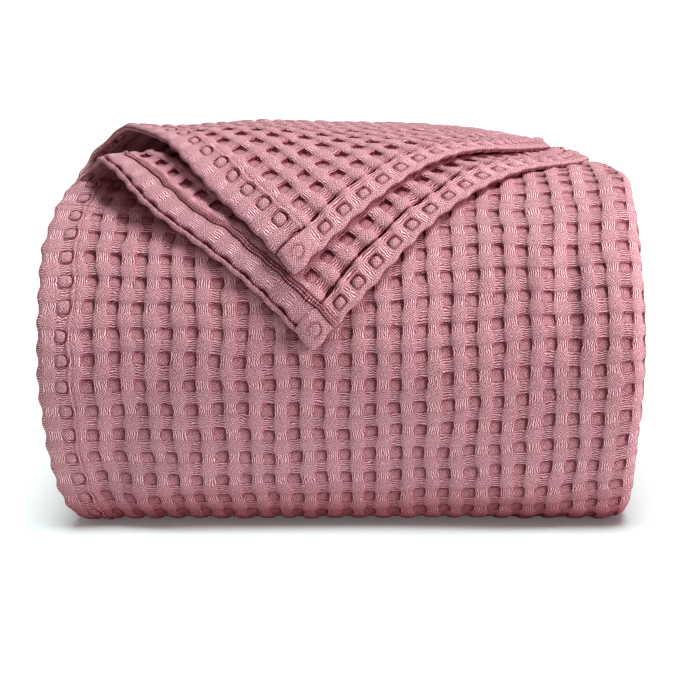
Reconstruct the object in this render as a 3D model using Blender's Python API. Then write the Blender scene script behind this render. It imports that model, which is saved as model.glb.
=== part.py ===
"""A waffle weave cotton blanket, folded, with its two loose corners turned down over the front.

The cloth is one sheet. It is folded back and forth across its width into six leaves. That strip of leaves
is then folded in four along its length, like one U inside another, with the big fold at the front.
The two outermost leaves end at a slanting fold line on top and come forward again as corner flaps.

Every point of the cloth is worked out in three steps:
  x      across the bundle, from its left side
  s      along the strip, from the foremost line of the bundle: up and back over the top when positive
  depth  into the bundle, from its outer face; a flap lies outside it, at a negative depth
and the soft shape of the bundle then bends the lot, which keeps the leaves apart.
"""
import math

import bmesh
import bpy
import numpy as np

# Driving dimensions, in metres.
FOLDED_WIDTH = 0.380          # a sixth of the blanket's 2.28 m side
PAD_HEIGHT = 0.226            # the folded bundle, without the flaps on top
LEAVES = 6                    # leaves in the strip
PASSES = 4                    # times that the strip crosses the height
CLOTH_THICKNESS = 0.0045      # a waffle cloth, over its ridges
FRONT_LINE_HEIGHT = 0.44      # height of the foremost line, as a share of the pad's height
TOP_ROUNDING = 0.115          # depth of the rounding from the foremost line up to the top
FOOT_ROUNDING = 0.045         # depth of the rounding from the foremost line down to the base
BACK_FOLD_START = 0.250       # where the bottom leaves start to turn up at the back
TOP_END = 0.360               # path length from the foremost line to the cloth's end on top
INNER_END = 0.285             # how far back the inner end of the strip reaches
COMMON_TOP = 0.120            # path length up to which all leaves share their rows

STRIP_THICKNESS = PAD_HEIGHT / PASSES
PITCH = STRIP_THICKNESS / LEAVES
CORE = PAD_HEIGHT / 2
OUTER_LEAF = PITCH / 2

# The two fold lines of the turned-down corners, each with the flap that it leads to.
# start: path length at the left side; slope and curl: its rise across the width;
# tip_x, tip_s: where the corner's tip lies; hem_x: where the end hem turns back over the top;
# hem_angle: direction of the end hem on the front, in degrees; inset: how far its end stays from the side;
# bow: how far the side hem bows out on its way to the tip;
# level: how many leaf pitches the flap lies above the outermost leaf;
# loop: how many pitches are added to the half-turn's radius; tuck: how far the left end of the half-turn
# and of the flap under it sits in from the side.
FOLDS = (
    dict(leaf=1, start=0.141, slope=0.384, curl=0.121, tip_x=0.172, tip_s=0.022, hem_x=0.348, hem_angle=47,
         inset=0.004, bow=0.012, level=1, loop=0, tuck=0.011),
    dict(leaf=2, start=0.182, slope=0.384, curl=0.048, tip_x=0.161, tip_s=0.064, hem_x=0.320, hem_angle=43,
         inset=0.028, bow=0.010, level=2, loop=1, tuck=0.004),
)
LOOP_LEFT = 0.0100            # radius of the inner half-turn at the open left side
LOOP_REACH = 0.480            # width over which that radius falls to a pressed fold
BULGE_LENGTH = 0.085          # path over which a flap comes down from its half-turn
TUCK_REACH = 0.35             # share of the flap's length over which its tuck runs out
PRESS = 0.40                  # share of their spacing by which the flaps are pressed down at the right
PRESS_START = 0.275
PRESS_LENGTH = 0.085

# The bundle's soft outline: how far each side draws in, by height.
SIDE_INSETS = (
    dict(height=0.00, left=0.031, right=0.003),
    dict(height=0.04, left=0.017, right=0.002),
    dict(height=0.08, left=0.012, right=0.002),
    dict(height=0.14, left=0.008, right=0.002),
    dict(height=0.25, left=0.004, right=0.002),
    dict(height=0.45, left=0.000, right=0.000),
    dict(height=0.80, left=0.000, right=0.000),
    dict(height=0.90, left=0.006, right=-0.001),
    dict(height=0.97, left=0.015, right=-0.004),
    dict(height=1.03, left=0.025, right=-0.006),
    dict(height=1.10, left=0.040, right=-0.006),
    dict(height=1.20, left=0.062, right=-0.004),
)
BACK_TAPER = 0.045            # share of its height that the bundle loses towards the back, at the right
BACK_NARROWING = 0.016        # how far the right side moves in towards the back
TAPER_START = 0.120
TAPER_LENGTH = 0.180
WAVES = (                     # long soft unevenness of the faces
    dict(size=0.0016, across=0.21, up=0.17, phase=0.4),
    dict(size=0.0011, across=0.12, up=0.26, phase=2.1),
)

# Rows and columns of the faceted cloth.
TOP_ROWS = 6
LEAF_COLUMNS = {1: 8, 2: 8, 3: 5, 4: 5, 5: 5, 6: 5}
LOOP_ROWS = 5
FLAP_ROWS = 7
TABLE_STEPS = 80

# The strip's way through the bundle, after the top: the number of rows in each stretch.
STRETCHES = (
    dict(name="front", rows=5),
    dict(name="foot", rows=6),
    dict(name="bottom", rows=2),
    dict(name="back_fold", rows=8),
    dict(name="inner_bottom", rows=2),
    dict(name="inner_foot", rows=3),
    dict(name="inner_front", rows=3),
    dict(name="inner_top", rows=2),
)

# The leaves in the order in which the cloth runs through them, with the side of each turn.
CHAIN = (
    dict(leaf=1, turn="right", steps=4),
    dict(leaf=4, turn="left", steps=3),
    dict(leaf=5, turn="right", steps=3),
    dict(leaf=6, turn="left", steps=4),
    dict(leaf=3, turn="right", steps=3),
    dict(leaf=2, turn=None, steps=0),
)

MAUVE = (0.47, 0.20, 0.235, 1.0)


def smooth(value):
    value = min(max(value, 0), 1)
    return value * value * (3 - 2 * value)


def quarter_table(depth_axis, height_axis):
    """Angles and path lengths along a quarter of an ellipse, from its foremost point."""
    angle = np.linspace(0, math.pi / 2, TABLE_STEPS)
    across = depth_axis * (1 - np.cos(angle))
    up = height_axis * np.sin(angle)
    length = np.concatenate([[0], np.cumsum(np.hypot(np.diff(across), np.diff(up)))])
    return angle, length


def scale_at(depth):
    """The size of the U-shaped section at a depth: 1 at the outer face and 0 at its core."""
    return 1 - depth / CORE


OUTER_SCALE = scale_at(OUTER_LEAF)
TOP_TABLE = quarter_table(TOP_ROUNDING * OUTER_SCALE, (1 - FRONT_LINE_HEIGHT) * PAD_HEIGHT * OUTER_SCALE)
FOOT_TABLE = quarter_table(FOOT_ROUNDING * OUTER_SCALE, FRONT_LINE_HEIGHT * PAD_HEIGHT * OUTER_SCALE)
TOP_TURN = TOP_TABLE[1][-1]
FOOT_TURN = FOOT_TABLE[1][-1]
BOTTOM_LENGTH = BACK_FOLD_START - FOOT_ROUNDING
BACK_FOLD_LENGTH = math.pi * (STRIP_THICKNESS - OUTER_LEAF)
INNER_BOTTOM_LENGTH = BACK_FOLD_START - CORE
INNER_TURN = math.pi / 2 * STRIP_THICKNESS / 2
INNER_TOP_LENGTH = INNER_END - CORE

STRETCH_LENGTHS = {
    "front": COMMON_TOP,
    "foot": FOOT_TURN,
    "bottom": BOTTOM_LENGTH,
    "back_fold": BACK_FOLD_LENGTH,
    "inner_bottom": INNER_BOTTOM_LENGTH,
    "inner_foot": INNER_TURN,
    "inner_front": INNER_TURN,
    "inner_top": INNER_TOP_LENGTH,
}


def front_centre(depth):
    """Height of the foremost point of the U at a depth."""
    return PAD_HEIGHT * (FRONT_LINE_HEIGHT * scale_at(depth) + 0.5 * (1 - scale_at(depth)))


def on_quarter(depth, angle, rounding, share, side):
    """A point on the rounded front at a depth: side is 1 above the foremost line and -1 below it."""
    scale = scale_at(depth)
    back = depth + rounding * scale * (1 - np.cos(angle))
    up = front_centre(depth) + side * share * PAD_HEIGHT * scale * np.sin(angle)
    return back, up


def section(s, depth):
    """Where a point of the strip lies in the bundle's section, as distance back and height."""
    top_share = 1 - FRONT_LINE_HEIGHT
    if s >= TOP_TURN:
        back = depth + TOP_ROUNDING * scale_at(depth) + s - TOP_TURN
        return back, PAD_HEIGHT - depth
    if s >= 0:
        angle = np.interp(s, TOP_TABLE[1], TOP_TABLE[0])
        return on_quarter(depth, angle, TOP_ROUNDING, top_share, 1)
    along = -s
    if along <= FOOT_TURN:
        angle = np.interp(along, FOOT_TABLE[1], FOOT_TABLE[0])
        return on_quarter(depth, angle, FOOT_ROUNDING, FRONT_LINE_HEIGHT, -1)
    along -= FOOT_TURN
    foot_end = depth + FOOT_ROUNDING * scale_at(depth)
    if along <= BOTTOM_LENGTH:
        return foot_end + (BACK_FOLD_START - foot_end) * along / BOTTOM_LENGTH, depth
    along -= BOTTOM_LENGTH
    if along <= BACK_FOLD_LENGTH:
        turn = math.pi * along / BACK_FOLD_LENGTH
        radius = STRIP_THICKNESS - depth
        return BACK_FOLD_START + radius * math.sin(turn), STRIP_THICKNESS - radius * math.cos(turn)
    along -= BACK_FOLD_LENGTH
    inner = CORE - depth
    foot_end = inner + FOOT_ROUNDING * scale_at(inner)
    if along <= INNER_BOTTOM_LENGTH:
        return BACK_FOLD_START + (foot_end - BACK_FOLD_START) * along / INNER_BOTTOM_LENGTH, inner
    along -= INNER_BOTTOM_LENGTH
    if along <= INNER_TURN:
        angle = math.pi / 2 * (1 - along / INNER_TURN)
        return on_quarter(inner, angle, FOOT_ROUNDING, FRONT_LINE_HEIGHT, -1)
    along -= INNER_TURN
    if along <= INNER_TURN:
        angle = math.pi / 2 * along / INNER_TURN
        return on_quarter(inner, angle, TOP_ROUNDING, top_share, 1)
    along -= INNER_TURN
    top_start = inner + TOP_ROUNDING * scale_at(inner)
    return top_start + (INNER_END - top_start) * along / INNER_TOP_LENGTH, PAD_HEIGHT - inner


def soften(x, back, up):
    """Bend a point with the soft outline of the whole bundle."""
    heights = [row["height"] for row in SIDE_INSETS]
    share = up / PAD_HEIGHT
    left = np.interp(share, heights, [row["left"] for row in SIDE_INSETS])
    right = np.interp(share, heights, [row["right"] for row in SIDE_INSETS])
    across = min(max(x / FOLDED_WIDTH, 0), 1)
    behind = across ** 3 * smooth((back - TAPER_START) / TAPER_LENGTH)
    new_x = x + left * (1 - across) ** 3 - right * across ** 3 - BACK_NARROWING * behind
    lift = min(max(share, 0), 1)
    wave = 0
    for row in WAVES:
        wave += row["size"] * math.sin(math.tau * (x / row["across"] + up / row["up"]) + row["phase"])
    return new_x, back + wave * lift, up * (1 - BACK_TAPER * behind) + wave * lift * 0.5


def place(x, s, depth):
    back, up = section(s, depth)
    return soften(x, back, up)


def leaf_depth(leaf):
    return (leaf - 0.5) * PITCH


def fold_line(fold, x):
    """Path length of a slanting fold line at a place across the bundle."""
    across = min(max(x / FOLDED_WIDTH, 0), 1)
    return fold["start"] + FOLDED_WIDTH * (fold["slope"] * across + fold["curl"] * across ** 2)


def pressing(x):
    """Share of their spacing by which the flaps are pressed down at their right-hand ends."""
    return PRESS * smooth((x - PRESS_START) / PRESS_LENGTH)


def loop_radius(fold, x):
    """Radius of the half-turn at a slanting fold line: open at the left and pressed at the right."""
    opened = (LOOP_LEFT - PITCH / 2) * smooth(1 - x / LOOP_REACH)
    return opened + PITCH * (0.5 + fold["loop"] - 0.5 * fold["level"] * pressing(x))


def flap_height(fold, x, s):
    """Height of a flap above the bundle's outer face."""
    lower = FOLDS[0]
    settle = 1 - smooth((fold_line(lower, x) - s) / BULGE_LENGTH)
    bulge = 2 * loop_radius(lower, x) - PITCH * (1 - pressing(x))
    return bulge * settle + PITCH * (fold["level"] * (1 - pressing(x)) - 0.5)


def hem_point(fold, share):
    """A point on a flap's end hem, from its tip up to the right-hand end of the fold line."""
    angle = math.radians(fold["hem_angle"])
    straight = (fold["hem_x"] - fold["tip_x"]) / math.cos(angle) / FOLDED_WIDTH
    run = min(share, straight) * FOLDED_WIDTH
    x = fold["tip_x"] + run * math.cos(angle)
    s = fold["tip_s"] + run * math.sin(angle)
    if share > straight:
        over = (share - straight) / (1 - straight)
        end_x = FOLDED_WIDTH - fold["inset"]
        end_s = fold_line(fold, end_x) - PITCH
        x += (end_x - x) * math.sin(over * math.pi / 2)
        s += (end_s - s) * over
    return x, s


def leaf_end(leaf, x):
    """Path length at which a leaf stops on top: its fold line, or the cloth's end."""
    for fold in FOLDS:
        if fold["leaf"] == leaf:
            return fold_line(fold, x)
    return TOP_END


def across_columns():
    """The cloth's section across the strip, as (x, depth, end on top, leaf) for each column."""
    columns = []
    near, far = CLOTH_THICKNESS / 2, FOLDED_WIDTH - CLOTH_THICKNESS / 2
    for link, following in zip(CHAIN, CHAIN[1:] + (None,)):
        leaf = link["leaf"]
        depth = leaf_depth(leaf)
        turns_right = link["turn"] == "right"
        left_x = near + PITCH * (1.5 if leaf > 2 else 0)
        right_x = far - PITCH * 1.5
        start_x, end_x = (left_x, right_x) if leaf in (1, 5, 3) else (right_x, left_x)
        steps = LEAF_COLUMNS[leaf]
        for step in range(steps + 1):
            x = start_x + (end_x - start_x) * step / steps
            columns.append((x, depth, leaf_end(leaf, x), leaf))
        if following is None:
            continue
        next_depth = leaf_depth(following["leaf"])
        radius = abs(next_depth - depth) / 2
        middle = (depth + next_depth) / 2
        first_end = leaf_end(leaf, end_x)
        next_end = leaf_end(following["leaf"], end_x)
        outward = 1 if turns_right else -1
        toward = 1 if next_depth > depth else -1
        for step in range(1, link["steps"]):
            turn = math.pi * step / link["steps"]
            x = end_x + outward * radius * math.sin(turn)
            mix = step / link["steps"]
            end = first_end + (next_end - first_end) * mix
            columns.append((x, middle - toward * radius * math.cos(turn), end, 0))
    return columns


def shared_rows():
    """Path lengths of the rows that all leaves share, from the common top row to the inner end."""
    rows = []
    s = COMMON_TOP
    for stretch in STRETCHES:
        length = STRETCH_LENGTHS[stretch["name"]]
        for step in range(stretch["rows"]):
            rows.append(s - length * step / stretch["rows"])
        s -= length
    rows.append(s)
    return rows


def add_flap(mesh, fold, columns, first_row):
    """Turn a leaf over its fold line and bring it forward as a corner flap."""
    picked = [i for i, column in enumerate(columns) if column[3] == fold["leaf"]]
    picked.sort(key=lambda i: columns[i][0])
    span = columns[picked[-1]][0] - columns[picked[0]][0]
    grid = [[first_row[i] for i in picked]]
    for step in range(1, LOOP_ROWS + FLAP_ROWS + 1):
        row = []
        for i in picked:
            x, depth = columns[i][:2]
            share = (x - columns[picked[0]][0]) / span
            s = fold_line(fold, x)
            lean = math.atan2(fold["slope"] + 2 * fold["curl"] * x / FOLDED_WIDTH, 1)
            radius = loop_radius(fold, x)
            tuck = fold["tuck"] * (1 - share) ** 4
            if step < LOOP_ROWS:
                turn = math.pi * step / LOOP_ROWS
                reach = radius * math.sin(turn)
                point = (x - reach * math.sin(lean) + tuck * math.sin(turn / 2), s + reach * math.cos(lean),
                         depth - radius * (1 - math.cos(turn)))
            else:
                down = (step - LOOP_ROWS) / FLAP_ROWS
                hem_x, hem_s = hem_point(fold, share)
                bow = fold["bow"] * (1 - share) ** 2 * math.sin(math.pi * down)
                flap_x = x + (hem_x - x) * down + bow * math.cos(math.radians(fold["hem_angle"]))
                flap_x += tuck * (1 - smooth(down / TUCK_REACH))
                flap_s = s + (hem_s - s) * down + bow * math.sin(math.radians(fold["hem_angle"]))
                point = (flap_x, flap_s, -flap_height(fold, flap_x, flap_s))
            row.append(mesh.verts.new(place(*point)))
        grid.append(row)
    flip = columns[picked[0]][3] == 2
    for upper, lower in zip(grid, grid[1:]):
        for i in range(len(upper) - 1):
            corners = (upper[i], lower[i], lower[i + 1], upper[i + 1])
            mesh.faces.new(corners[::-1] if flip else corners)


def cloth_mesh():
    """The middle surface of the whole folded cloth, as one sheet."""
    columns = across_columns()
    shared = shared_rows()
    mesh = bmesh.new()
    grid = []
    for step in range(TOP_ROWS):
        part = 1 - step / TOP_ROWS
        row = []
        for x, depth, end, _ in columns:
            s = COMMON_TOP + (end - COMMON_TOP) * part
            row.append(mesh.verts.new(place(x, s, depth)))
        grid.append(row)
    for s in shared:
        grid.append([mesh.verts.new(place(x, s, depth)) for x, depth, _, _ in columns])
    for upper, lower in zip(grid, grid[1:]):
        for i in range(len(columns) - 1):
            mesh.faces.new((upper[i], upper[i + 1], lower[i + 1], lower[i]))
    for fold in FOLDS:
        add_flap(mesh, fold, columns, grid[0])
    bmesh.ops.recalc_face_normals(mesh, faces=mesh.faces)
    return mesh


def cotton():
    material = bpy.data.materials.new("mauve_cotton")
    material.use_nodes = True
    shader = material.node_tree.nodes["Principled BSDF"]
    shader.inputs["Base Color"].default_value = MAUVE
    shader.inputs["Roughness"].default_value = 0.9
    shader.inputs["Metallic"].default_value = 0.0
    return material


def stand_at_origin(thing):
    """Move the mesh so that the middle of its base box is at the origin."""
    graph = bpy.context.evaluated_depsgraph_get()
    solid = thing.evaluated_get(graph)
    points = np.array([vertex.co[:] for vertex in solid.data.vertices])
    low = points.min(axis=0)
    high = points.max(axis=0)
    for vertex in thing.data.vertices:
        vertex.co.x -= (low[0] + high[0]) / 2
        vertex.co.y -= (low[1] + high[1]) / 2
        vertex.co.z -= low[2]


def build_blanket():
    mesh = cloth_mesh()
    data = bpy.data.meshes.new("blanket")
    mesh.to_mesh(data)
    mesh.free()
    blanket = bpy.data.objects.new("blanket", data)
    bpy.context.scene.collection.objects.link(blanket)
    data.materials.append(cotton())
    data.shade_smooth()
    solidify = blanket.modifiers.new("cloth_thickness", "SOLIDIFY")
    solidify.thickness = CLOTH_THICKNESS
    solidify.offset = 0
    solidify.use_even_offset = True
    solidify.use_rim = True
    bpy.context.view_layer.update()
    stand_at_origin(blanket)
    return blanket


for thing in list(bpy.data.objects):
    bpy.data.objects.remove(thing, do_unlink=True)
build_blanket()
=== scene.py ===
"""Looks of a folded waffle weave cotton blanket: its weave, hems, soft creases, finish, light and camera.

Every point of the cloth is worked out in the same steps as in the solid model:
  u, w   places in the flat cloth: distance from its side hem, and from its end hem
  x      across the bundle, from its left side
  s      along the strip, from the foremost line of the bundle: up and back over the top when positive
  depth  into the bundle, from its outer face; a flap lies outside it, at a negative depth
The bundle's soft shape then bends the lot. The weave stands on that surface as real relief.
"""

import math
from functools import partial

import bpy
import numpy as np
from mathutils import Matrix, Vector


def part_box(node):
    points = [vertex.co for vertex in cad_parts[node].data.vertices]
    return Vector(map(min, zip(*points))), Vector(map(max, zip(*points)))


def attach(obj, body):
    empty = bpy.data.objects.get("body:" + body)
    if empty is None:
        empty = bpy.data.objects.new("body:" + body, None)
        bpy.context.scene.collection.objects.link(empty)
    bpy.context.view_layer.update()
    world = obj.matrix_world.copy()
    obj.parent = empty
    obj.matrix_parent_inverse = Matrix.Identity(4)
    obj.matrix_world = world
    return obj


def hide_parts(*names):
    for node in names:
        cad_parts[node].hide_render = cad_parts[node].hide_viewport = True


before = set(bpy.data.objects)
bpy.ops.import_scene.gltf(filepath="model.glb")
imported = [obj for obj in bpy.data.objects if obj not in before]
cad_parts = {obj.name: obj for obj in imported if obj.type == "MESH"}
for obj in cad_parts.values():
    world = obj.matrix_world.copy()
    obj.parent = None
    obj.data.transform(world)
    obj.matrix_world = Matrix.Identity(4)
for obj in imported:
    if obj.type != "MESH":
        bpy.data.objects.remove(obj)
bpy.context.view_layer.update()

# Driving dimensions of the folded cloth, in metres, as in the solid model.
FOLDED_WIDTH = 0.380  # a sixth of the blanket's 2.28 m side
PAD_HEIGHT = 0.226  # the folded bundle, without the flaps on top
LEAVES = 6
PASSES = 4  # times that the strip of leaves crosses the height
CLOTH_THICKNESS = 0.0045  # a waffle cloth, over its ridges
FRONT_LINE_HEIGHT = 0.44  # height of the foremost line, as a share of the pad's
TOP_ROUNDING = 0.115  # depth of the front's rounding, up to the top
FOOT_ROUNDING = 0.045  # and down to the base
BACK_FOLD_START = 0.250  # where the bottom leaves start to turn up at the back
TOP_END = 0.360  # path length from the foremost line to the cloth's end on top
INNER_END = 0.285  # how far back the inner end of the strip reaches
COMMON_TOP = 0.120  # path length up to which all leaves share their rows

STRIP_THICKNESS = PAD_HEIGHT / PASSES
PITCH = STRIP_THICKNESS / LEAVES
CORE = PAD_HEIGHT / 2
OUTER_LEAF = PITCH / 2

# The slanting fold lines of the turned-down corners, with their flaps, by leaf. start: path length at the
# left side; slope, curl: its rise across the width; tip_x, tip_s: the corner's tip; hem_x: where the end
# hem turns back over the top; hem_angle: its direction before that, in degrees; inset: how far its end
# stays from the side; bow: how far the side hem bows out; tuck, draw: how far the half-turn's left and
# right ends sit in. The flap of leaf 1 lies one pitch above the outermost leaf, and that of leaf 2 two.
# The upper corner's hem_x, hem_angle, inset and draw are closer to the photo than the solid model's.
FOLDS = {
    1: dict(leaf=1, start=0.141, slope=0.384, curl=0.121, tip_x=0.172, tip_s=0.022, hem_x=0.348,
            hem_angle=47, inset=0.004, bow=0.012, tuck=0.011, draw=0),
    2: dict(leaf=2, start=0.182, slope=0.384, curl=0.048, tip_x=0.161, tip_s=0.064, hem_x=0.305,
            hem_angle=45, inset=0.032, bow=0.010, tuck=0.004, draw=0.014),
}
LOOP_LEFT = 0.0100  # radius of the inner half-turn at the open left side
LOOP_REACH = 0.480  # width over which that radius falls to a pressed fold
BULGE_LENGTH = 0.085  # path over which a flap comes down from its half-turn
TUCK_FADE = 4  # powers with which tuck and draw fade away from the sides
TUCK_REACH = 0.35  # share of the flap's length over which its tuck runs out
DRAW_FADE = 8
PRESS = 0.40  # how far the flaps are pressed down at the right
PRESS_START = 0.275
PRESS_LENGTH = 0.085
SAG = 0.0034  # how far the free edges of a corner hang down towards the bundle
RIGHT_SAG = 0.0012  # how much further the end hem hangs at the right
SIDE_SAG_WIDTH = 0.030  # widths of the strips that hang
END_SAG_WIDTH = 0.035
SAG_START = 0.25  # share of the way to the tip at which the side hem starts to hang
SAG_RUN = 0.40
SHORT_CLOTH = 0.025  # shorter cloth than this hangs less

# The bundle's soft outline: a height, as a share of the pad's, and how far the left and right sides draw in.
SIDE_INSETS = (
    (0.00, 0.031, 0.003),
    (0.04, 0.017, 0.002),
    (0.08, 0.012, 0.002),
    (0.14, 0.008, 0.002),
    (0.25, 0.004, 0.002),
    (0.45, 0.000, 0.000),
    (0.80, 0.000, 0.000),
    (0.90, 0.006, -0.001),
    (0.97, 0.015, -0.004),
    (1.03, 0.025, -0.006),
    (1.10, 0.040, -0.006),
    (1.20, 0.062, -0.004),
)
BACK_TAPER = 0.045  # share of its height that the bundle loses towards the back, at the right
BACK_NARROWING = 0.016  # how far the right side moves in towards the back
TAPER_START = 0.120
TAPER_LENGTH = 0.180
# Long soft waves of the faces: height, length across, length up, and phase.
WAVES = ((0.0016, 0.21, 0.17, 0.4), (0.0011, 0.12, 0.26, 2.1))
TABLE_STEPS = 80

# The weave. One cell holds one smooth node, the loose threads that bridge it to the next ones, and one pit.
CELL = FOLDED_WIDTH / 24
SIDE_HEM = 1.32  # widths of the hems, in cells
END_HEM = 1.08
NODE_AT = 0.46  # distance of the first column of nodes from the cloth's edge, in cells
REVERSE_NODE_AT = 0.67  # and of the only one on the reverse of a side hem
WALL = 0.280  # half the width of the raised columns, in cells
WALL_WIDTH = 0.035  # width of their steep flanks
NODE_CORE = 0.17  # half the width of a node's flat middle, in cells
NODE_FLANK = 0.20  # width over which the threads come down from it
LOOSE_START = 0.25  # distance from a node's middle at which its threads come loose
LOOSE_FADE = 0.09
PIT_DEPTH = 0.0019
FLAP_DEEPER = 1.55  # how much deeper they are in the stretched cloth of the corners
PRESSED_FLAT = 0.45  # and how shallow they are where the corners are pressed at the right
STRETCH_LENGTH = 0.09  # length over which they get shallow
CALMED = 0.40  # share of all the relief that is left where the corners are pressed
DEEPEST = 0.0040
PIT_SLOPE = 0.38  # share of its depth by which a pit's floor drops towards the corner where its painted shadow line is darkest
PIT_TILT = 0.7  # how steeply it drops each way, before it levels out
DEPTH_JITTER = 0.16  # unevenness of the pits' depths, as a share, and of the nodes' heights
LEVEL_JITTER = 0.00022
GROOVE_SHADE_OUT = 0.005  # how far the painted shadow line around a pit's floor lies outside it, in cells
GROOVE_SHADE_WIDTH = 0.040
GROOVE_SHADE_EVEN = 0.60  # share of its painted darkness that is the same all around; the rest falls on the shadow side
GROOVE_SHADOW_SIDE = 1.5
FLAP_GROOVE_SHADE = 1.20  # how much darker the painted shadow lines are on the corners
BRIDGE_DROP = 0.0012  # how far the bridging threads lie below the nodes
COLUMN_DROP = 0.0005  # how far the columns sink between the nodes
ROUNDING_DROP = 0.0003  # how far the ridges fall away towards their flanks
COLUMN_ROUNDER = 2  # how much rounder the upright ridges are
FLAP_ROUNDER = 2.2  # and those of the corners
RING = 0.235  # half the width of the pressed-up pits in a hem, in cells
RING_AT = 0.52  # their distance from the end hem's edge; in a side hem they lie as pits do
RING_DEPTH = 0.0030
RING_LINE = 0.032  # width of their sunk outline
RING_EVEN = 0.66  # share of its depth that is the same all around
RING_SQUARENESS = 4
FRONT_RINGS = 0.55  # how strong the outlines are in the front's own hem
HEM_EXTRA = 0.0007  # what a hem's turned-in layer adds on each face
HEM_PITS = 0.0007  # depth of a hem's shallow pits
HEM_FADE = 0.06  # width over which a hem goes over into the body
LIP = 0.0005  # height of the lip along the inner side of a hem
LIP_WIDTH = 0.05
SEAM_DEPTH = 0.0022  # of the crease beside it
SEAM_WIDTH = 0.035
SEAM_WANDER = 0.022  # how far a seam strays from its line, in cells
TWIN_WANDER = 0.030
TWIN_RIDGES = (-0.10, 0)  # places of the two ridges on a side hem's reverse, and of the creases beside them
TWIN_CREASES = (-0.155, -0.05, 0.055)
TWIN_RIDGE_WIDTH = 0.035
TWIN_CREASE_WIDTH = 0.024
TWIN_CREASE_SHADE = 0.7  # how dark the painted shade in those creases is
PUCKER_HEIGHT = 0.0010  # unevenness that the end hem draws into the cloth beside it
PUCKER_AT = 1.22  # where the puckers lie, and how wide they are, in cells
PUCKER_WIDTH = 0.24
DOME = 0.0006  # how far a pressed-up pit bulges
DOME_CORE = 0.08
DOME_FLANK = 0.14
HEM_NODE_START = 0.76  # how far from an end hem's edge its nodes start, in cells, and its upright threads
HEM_THREAD_START = 0.18
HEM_NODE_SIDE = 0.25  # distance of both from the middle of a pressed-up pit
HEM_STEP = 0.08
HEM_NODE_HEIGHT = 0.0009
HEM_UPRIGHT_DROP = 0.0005
HEM_LEVEL_DROP = 0.0003
HEM_DROP = 0.0005  # how far all of an end hem is pressed down
CORD = 0.25  # distance of the slit from the edge of a side hem's reverse, in cells
CORD_FLANK = 0.05
CORD_RIBS = 3  # ribs of the cord in a cell
RIB_DEPTH = 0.0008
SLIT_DEPTH = 0.0028
SLIT_LENGTH = 0.24  # half the length over which it gapes in each cell
SLIT_WIDTH = 0.035
SLIT_GAPE = 0.040  # how much wider it is there
SLIT_EVEN = 0.45  # share of its depth that is the same all along
CORNER_AT = 0.62  # distance of the hems' shared corner dot from the side, in cells
PILLOW_HEIGHT = 0.0022  # how far that corner, four layers thick, bulges
PILLOW_WIDTH = 0.62
CORNER_DROP = 0.0002
CORNER_RING_DEPTH = 0.0010
CORNER_RING_LINE = 0.04
CORNER_RING_SHADE = 0.4  # how dark the painted shade in its outline is, as a share of the others
RIGHT_SIDE_SEAM = 0.2  # share of the hem's lip and crease that shows on the cloth's right side
RELIEF_SPAN = 0.0025  # depth at which a place counts as sunk, and gets all of the pits' painted shade
BACK_RELIEF = 0.5  # share of the relief that the cloth's other face gets
EDGE_ROUND = 0.0030  # width over which the cloth's free edges are rounded
EDGE_LEAST = 0.3  # share of the thickness that is left there
ROW_RISE = 0.066  # how far the rows climb towards the right, from the middle on
LEAF_RUN = 0.380  # cloth from the foremost line to its end hem, at the left side

# Unevenness, in cells: waves of the free edges, the sway of the ridges, slow waves, and each cell's own.
EDGE_WAVE = 0.050
EDGE_WAVE_REACH = 0.6
COLUMN_SWAY = 0.030
ROW_SWAY = 0.018
WANDER = 0.10
CELL_SHIFT = 0.055
CALM_EDGE = 0.3  # distance from the free edges at which the shifts set in

# Places of the mesh's lines, in cells, by how many there are in a cell, and those that follow the hems.
CELL_LINES = {
    12: (0, 0.12, 0.23, 0.28, 0.315, 0.36, 0.50, 0.64, 0.685, 0.72, 0.77, 0.88),
    6: (0, 0.27, 0.33, 0.50, 0.67, 0.73),
    4: (0, 0.27, 0.50, 0.73),
}
END_HEM_LINES = {
    12: (0.03, 0.08, 0.14, 0.22, 0.25, 0.285, 0.32, 0.42, 0.52, 0.62, 0.72, 0.755, 0.79, 0.88, 0.97, 1.03,
         1.08, 1.12, 1.16),
    6: (0.05, 0.14, 0.27, 0.40, 0.52, 0.64, 0.77, 0.90, 1.03, 1.11),
}
SIDE_HEM_LINES = {
    12: (0.03, 0.08, 0.14, 0.20, 0.25, 0.30, 0.84, 0.90, 1.02, 1.08, 1.13, 1.165, 1.22, 1.27, 1.32, 1.375,
         1.42),
    6: (0.05, 0.14, 1.33, 1.39),
}
SIDE_HEM_CLEAR = 0.16  # the body's own lines start this far from a side hem, or from an end hem
END_HEM_CLEAR = 1.17
LINE_GAP = 0.015  # least distance of a line from the end of its stretch
TOUCHING = 1e-6


def smooth(value):
    value = np.clip(value, 0, 1)
    return value * value * (3 - 2 * value)


def rise(value, start, width):
    """A smooth step from 0 to 1 that begins at a start and is a width long."""
    return smooth((value - start) / width)


def bell(value, width):
    """A smooth hill of height 1 around zero."""
    return np.exp(-(value / width) ** 2)


def quarter_table(depth_axis, height_axis):
    """Angles and path lengths along a quarter of an ellipse, from its foremost point."""
    angle = np.linspace(0, math.pi / 2, TABLE_STEPS)
    across = depth_axis * (1 - np.cos(angle))
    up = height_axis * np.sin(angle)
    length = np.concatenate([[0], np.cumsum(np.hypot(np.diff(across), np.diff(up)))])
    return angle, length


def scale_at(depth):
    """The size of the U-shaped section at a depth: 1 at the outer face and 0 at its core."""
    return 1 - depth / CORE


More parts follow.
